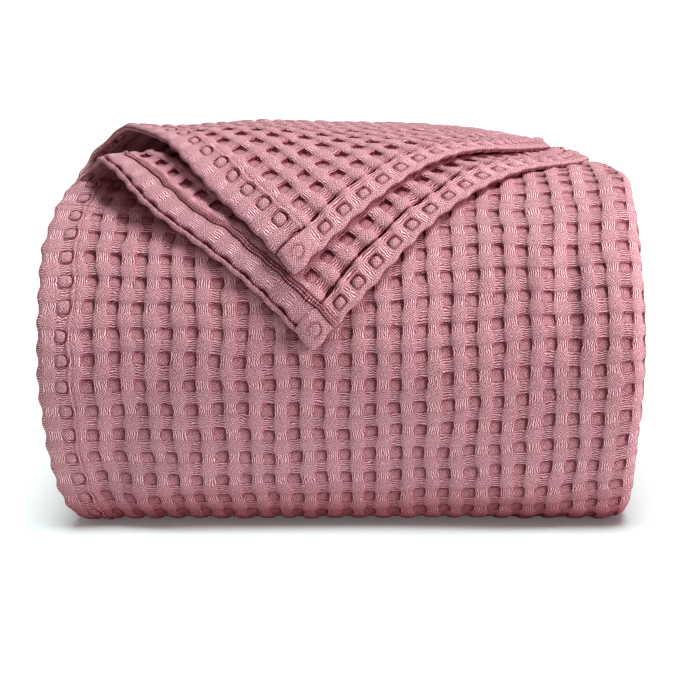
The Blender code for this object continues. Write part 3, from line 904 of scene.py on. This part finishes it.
def chain_shell(w_lines, dense):
    """A stretch of all the inner leaves with the turns between them."""
    x, depth, column_u, end = chain_columns(dense)
    u, whole_w = np.meshgrid(column_u, w_lines)
    limit = np.broadcast_to(TOP_END - end, u.shape)
    w = np.maximum(whole_w, limit)
    whole = place(x, TOP_END - whole_w, depth)
    normal = unit(np.cross(np.gradient(whole, axis=1), np.gradient(whole, axis=0)))
    from_edge = w - limit * (limit > TOUCHING)
    return shell(place(x, TOP_END - w, depth), normal, u, from_edge, ended_ids(w, limit, True), -1)


def math_node(tree, operation, first, second=None, third=None):
    node = tree.nodes.new("ShaderNodeMath")
    node.operation = operation
    for socket, value in zip(node.inputs, (first, second, third)):
        if isinstance(value, (int, float)):
            socket.default_value = value
        elif value is not None:
            tree.links.new(value, socket)
    return node.outputs[0]


def noise(tree, vector, scale, detail):
    node = tree.nodes.new("ShaderNodeTexNoise")
    set_inputs(node, {"Scale": scale, "Detail": detail})
    tree.links.new(vector, node.inputs["Vector"])
    return node.outputs["Fac"]


def set_inputs(node, values):
    for name, value in values.items():
        node.inputs[name].default_value = value


def threads(calc, along, phase):
    """A row of threads across a coordinate, in cells, shifted by a wavy phase."""
    return calc("SINE", calc("ADD", calc("MULTIPLY", along, math.tau * THREADS_PER_CELL), phase))


# The finish: colours of the cotton, from the deepest gap to the tips of the threads, and what sets its tone.
# The darkest colours are painted shade, and the brightest a painted highlight on the thread tips.
TONES = (
    (0.00, (0.060, 0.004, 0.009, 1)),
    (0.30, (0.200, 0.040, 0.055, 1)),
    (0.55, (0.372, 0.145, 0.167, 1)),
    (0.80, (0.532, 0.276, 0.301, 1)),
    (1.00, (0.930, 0.620, 0.656, 1)),
)
PAINTED_SHADE_TINT = (0.60, 0.20, 0.25, 1)  # painted shade: folds, pits and the cloth near the floor are darkened and turned a deeper red
PAINTED_SHADE_REACH = 0.040
TONE_SUNK = 0.63
# Painted shade: sunk places are this much darker than raised ones.
PIT_SHADE_TONE = 0.09
# Painted shade on the level bridging threads, which lie lower.
BRIDGE_SHADE_TONE = -0.08
# Painted highlight on the loose threads' tips and painted shade in the gaps between them.
THREAD_SHADING_TONE = 0.33
TONE_FINE = 0.50
# Painted shadow lines in the pits, and in the hems' creases, rings and slits.
GROOVE_SHADE_TONE = -0.40
THREADS_PER_CELL = 11
THREAD_WAVE = 12.0  # how much the threads' rows wave about
LEVEL_WAVE_SCALE = 4.6
UPRIGHT_WAVE_SCALE = 5.4
SPECKLE_SCALE = 18.0
WOVEN_SHARE = 0.55
LOOSE_BUMP = 0.00020
FINE_BUMP = 0.0005


def cotton():
    """Matte cotton: crimped loose threads on the bridges, a fine slanting weave on the nodes, dark pits."""
    # Its colour carries painted shade in pits, grooves, thread gaps and sheltered folds, and painted
    # highlights on thread tips.
    material = bpy.data.materials.new("mauve_waffle_cotton")
    material.use_nodes = True
    tree = material.node_tree
    calc = partial(math_node, tree)
    shader = tree.nodes["Principled BSDF"]
    set_inputs(shader, {"Roughness": 0.92, "Specular IOR Level": 0.08})

    place_node = tree.nodes.new("ShaderNodeUVMap")
    place_node.uv_map = "weave"
    cells = place_node.outputs["UV"]
    split = tree.nodes.new("ShaderNodeSeparateXYZ")
    tree.links.new(cells, split.inputs[0])
    attribute = tree.nodes.new("ShaderNodeAttribute")
    attribute.attribute_name = "relief"
    masks = tree.nodes.new("ShaderNodeSeparateColor")
    tree.links.new(attribute.outputs["Color"], masks.inputs[0])
    lift, upright, flat = masks.outputs
    groove_shade = attribute.outputs["Alpha"]

    level_wave = calc("MULTIPLY", noise(tree, cells, LEVEL_WAVE_SCALE, 2), THREAD_WAVE)
    upright_wave = calc("MULTIPLY", noise(tree, cells, UPRIGHT_WAVE_SCALE, 2), THREAD_WAVE)
    level_threads = threads(calc, split.outputs[1], level_wave)
    upright_threads = threads(calc, split.outputs[0], upright_wave)
    loose = calc("MULTIPLY", level_threads, flat)
    loose = calc("MULTIPLY_ADD", upright_threads, upright, loose)
    loose_share = calc("ADD", upright, flat)
    loose_share.node.use_clamp = True
    crossed = calc("MULTIPLY", level_threads, upright_threads)
    woven = calc("MULTIPLY", crossed, calc("SUBTRACT", 1.0, loose_share))
    speckle = calc("SUBTRACT", noise(tree, cells, SPECKLE_SCALE, 3), 0.5)
    fine = calc("MULTIPLY_ADD", woven, WOVEN_SHARE, speckle)

    height = calc("MULTIPLY_ADD", loose, LOOSE_BUMP, calc("MULTIPLY", fine, FINE_BUMP))
    bump = tree.nodes.new("ShaderNodeBump")
    set_inputs(bump, {"Strength": 1.0, "Distance": 1.0})
    tree.links.new(height, bump.inputs["Height"])
    tree.links.new(bump.outputs[0], shader.inputs["Normal"])

    # Painted shade and highlights: sunk places, level bridges, thread gaps and grooves darker, thread tips
    # lighter.
    tone = calc("MULTIPLY_ADD", lift, PIT_SHADE_TONE, TONE_SUNK)
    for mask, weight in ((flat, BRIDGE_SHADE_TONE), (loose, THREAD_SHADING_TONE), (fine, TONE_FINE), (groove_shade, GROOVE_SHADE_TONE)):
        tone = calc("MULTIPLY_ADD", mask, weight, tone)
    ramp = tree.nodes.new("ShaderNodeValToRGB")
    while len(ramp.color_ramp.elements) < len(TONES):
        ramp.color_ramp.elements.new(1.0)
    for element, (position, colour) in zip(ramp.color_ramp.elements, TONES):
        element.position = position
        element.color = colour
    tree.links.new(tone, ramp.inputs[0])

    # Painted shade: the colour is darkened and reddened where the cloth is sheltered, in folds, pits and
    # near the floor.
    shade_occlusion = tree.nodes.new("ShaderNodeAmbientOcclusion")
    shade_occlusion.samples = 6
    set_inputs(shade_occlusion, {"Distance": PAINTED_SHADE_REACH})
    painted_shade = tree.nodes.new("ShaderNodeMix")
    painted_shade.data_type = "RGBA"
    painted_shade.blend_type = "MULTIPLY"
    set_inputs(painted_shade, {"B": PAINTED_SHADE_TINT})
    tree.links.new(calc("SUBTRACT", 1.0, shade_occlusion.outputs["AO"]), painted_shade.inputs["Factor"])
    tree.links.new(ramp.outputs[0], painted_shade.inputs["A"])
    tree.links.new(painted_shade.outputs["Result"], shader.inputs["Base Color"])
    return material


FRONT_BOTTOM = LEAF_RUN + 0.135  # cloth place where the front wrap hands over to the back wrap
FRONT_TOP = LEAF_RUN - COMMON_TOP  # and to the part that runs up under the flaps
CHAIN_SPLIT = TOP_END - COMMON_TOP  # and where the stack's top hands over to its body


def add_object(name, data):
    added = bpy.data.objects.new(name, data)
    bpy.context.scene.collection.objects.link(added)
    return added


def build_pieces():
    """The arrays of every piece of the cloth, by name."""
    wrap_u = cloth_lines(0, WRAP_WIDTH, 12, True)
    coarse_wrap_u = cloth_lines(0, WRAP_WIDTH, 6, True)
    flap_u = cloth_lines(0, SPAN, 12, True)
    shells = {
        "wrap_front": leaf_shell(wrap_position, wrap_u, cloth_lines(FRONT_TOP, FRONT_BOTTOM, 12), -1,
                                 back_every=4, creases=True),
        "wrap_top": leaf_shell(wrap_position, wrap_u, cloth_lines(0, FRONT_TOP, 12), -1,
                               low=wrap_top_limit, creases=True),
        "wrap_back": leaf_shell(wrap_position, coarse_wrap_u,
                                cloth_lines(FRONT_BOTTOM, LEAF_RUN + STRIP_BELOW, 6), -1, back_every=3),
        "stack_top": chain_shell(cloth_lines(0, CHAIN_SPLIT, 6), True),
        "stack_body": chain_shell(cloth_lines(CHAIN_SPLIT, TOP_END + STRIP_BELOW, 4), False),
    }
    for leaf, name in ((1, "flap_lower"), (2, "flap_upper")):
        fold = FOLDS[leaf]
        limit = partial(flap_length, fold)
        flap_w = cloth_lines(0, float(np.max(limit(flap_u))), 12)
        position = partial(flap_position, fold)
        shells[name] = leaf_shell(position, flap_u, flap_w, 1, high=limit, reverse=leaf == 1)
    return shells


def add_pieces():
    """The pieces as objects, moved so that together they stand where the solid does."""
    shells = build_pieces()
    everything = np.concatenate([made["points"] for made in shells.values()])
    low, high = everything.min(axis=0), everything.max(axis=0)
    node_low, node_high = (np.array(corner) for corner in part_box("blanket"))
    shift = (node_low + node_high) / 2 - (low + high) / 2
    shift[2] = node_low[2] - low[2]
    material = cotton()
    pieces = {}
    for name, made in shells.items():
        data = mesh_from(name, shift, **made)
        data.materials.append(material)
        piece = add_object(name, data)
        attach(piece, "root")
        pieces[name] = piece
    return pieces


pieces = add_pieces()
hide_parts("blanket")


# The stage: each light reaches either the blanket or the floor, so that both keep the photo's brightness.
FLOOR_REACH = 60.0
FLOOR_COLOUR = (0.82, 0.96, 0.95, 1)
FLOOR_GLOW = 0.09
SUN = dict(towards=(0.36, 0.12, 1.0), strength=4.65, spread=16, colour=(0.90, 1.0, 0.99))
FLOOR_SUN = dict(towards=(0.0, -0.25, 1.0), strength=3.4, spread=36, colour=(1, 1, 1))
SOFTBOX_AT = (1.04, -0.62, 0.48)
SOFTBOX_SIZE = 0.30
SOFTBOX_POWER = 12.0
SOFTBOX_COLOUR = (1.0, 0.86, 0.89)
SURROUNDINGS = (1.0, 0.74, 0.78, 1)
SURROUNDINGS_STRENGTH = 0.28

# The camera, in the photograph's frame of 679 pixels square.
FRAME_PIXELS = 679
FOCAL_PIXELS = 1715
LOOK_PIXEL = (343, 315)
LOOK_AT = (0.0, 0.0, 0.115)
CAMERA_DISTANCE = 1.2
CAMERA_ELEVATION = 11
SENSOR_WIDTH = 36
FARTHEST_SEEN = 200


def aim(thing, direction):
    """Turn a light or camera so that it looks along a direction, with its upper side up."""
    thing.rotation_mode = "QUATERNION"
    thing.rotation_quaternion = Vector(direction).to_track_quat("-Z", "Y")


def add_floor():
    """A wide white floor, so that its far edge lies above the picture."""
    data = bpy.data.meshes.new("floor")
    corners = [(x * FLOOR_REACH, y * FLOOR_REACH, 0) for x, y in ((-1, -1), (1, -1), (1, 1), (-1, 1))]
    data.from_pydata(corners, [], [(0, 1, 2, 3)])
    floor = add_object("floor", data)
    material = bpy.data.materials.new("white_floor")
    material.use_nodes = True
    set_inputs(material.node_tree.nodes["Principled BSDF"], {
        "Base Color": FLOOR_COLOUR, "Emission Color": (1, 1, 1, 1), "Emission Strength": FLOOR_GLOW,
        "Roughness": 0.9, "Specular IOR Level": 0.0,
    })
    data.materials.append(material)
    return floor


def add_light(name, kind, strength, colour, direction, things):
    """A light that shines along a direction on some things and no others."""
    data = bpy.data.lights.new(name, kind)
    data.energy = strength
    data.color = colour
    light = add_object(name, data)
    aim(light, direction)
    lit = bpy.data.collections.new("lit_by_" + name)
    for thing in things:
        lit.objects.link(thing)
    light.light_linking.receiver_collection = lit
    return light


def add_sun(name, sun, things):
    away = [-value for value in sun["towards"]]
    light = add_light(name, "SUN", sun["strength"], sun["colour"], away, things)
    light.data.angle = math.radians(sun["spread"])


def add_lights(blanket, floor):
    """A sun overhead and a softbox on the right for the blanket, and a sun of its own for the floor."""
    add_sun("overhead", SUN, blanket)
    direction = np.array(LOOK_AT) - np.array(SOFTBOX_AT)
    softbox = add_light("softbox", "AREA", SOFTBOX_POWER, SOFTBOX_COLOUR, direction, blanket)
    softbox.data.size = SOFTBOX_SIZE
    softbox.location = SOFTBOX_AT
    add_sun("floor_sun", FLOOR_SUN, [floor])


def add_world():
    world = bpy.data.worlds.new("white_surroundings")
    world.use_nodes = True
    background = world.node_tree.nodes["Background"]
    set_inputs(background, {"Color": SURROUNDINGS, "Strength": SURROUNDINGS_STRENGTH})
    bpy.context.scene.world = world


def add_camera():
    data = bpy.data.cameras.new("camera")
    data.sensor_width = SENSOR_WIDTH
    data.lens = FOCAL_PIXELS / FRAME_PIXELS * SENSOR_WIDTH
    data.shift_x = (FRAME_PIXELS / 2 - LOOK_PIXEL[0]) / FRAME_PIXELS
    data.shift_y = (LOOK_PIXEL[1] - FRAME_PIXELS / 2) / FRAME_PIXELS
    data.clip_end = FARTHEST_SEEN
    camera = add_object("camera", data)
    up = math.radians(CAMERA_ELEVATION)
    away = np.array([0, -math.cos(up), math.sin(up)])
    camera.location = np.array(LOOK_AT) + away * CAMERA_DISTANCE
    aim(camera, -away)
    bpy.context.scene.camera = camera


floor = add_floor()
add_lights(pieces.values(), floor)
add_world()
add_camera()
bpy.context.scene.view_settings.view_transform = "Standard"
bpy.context.scene.view_settings.look = "None"
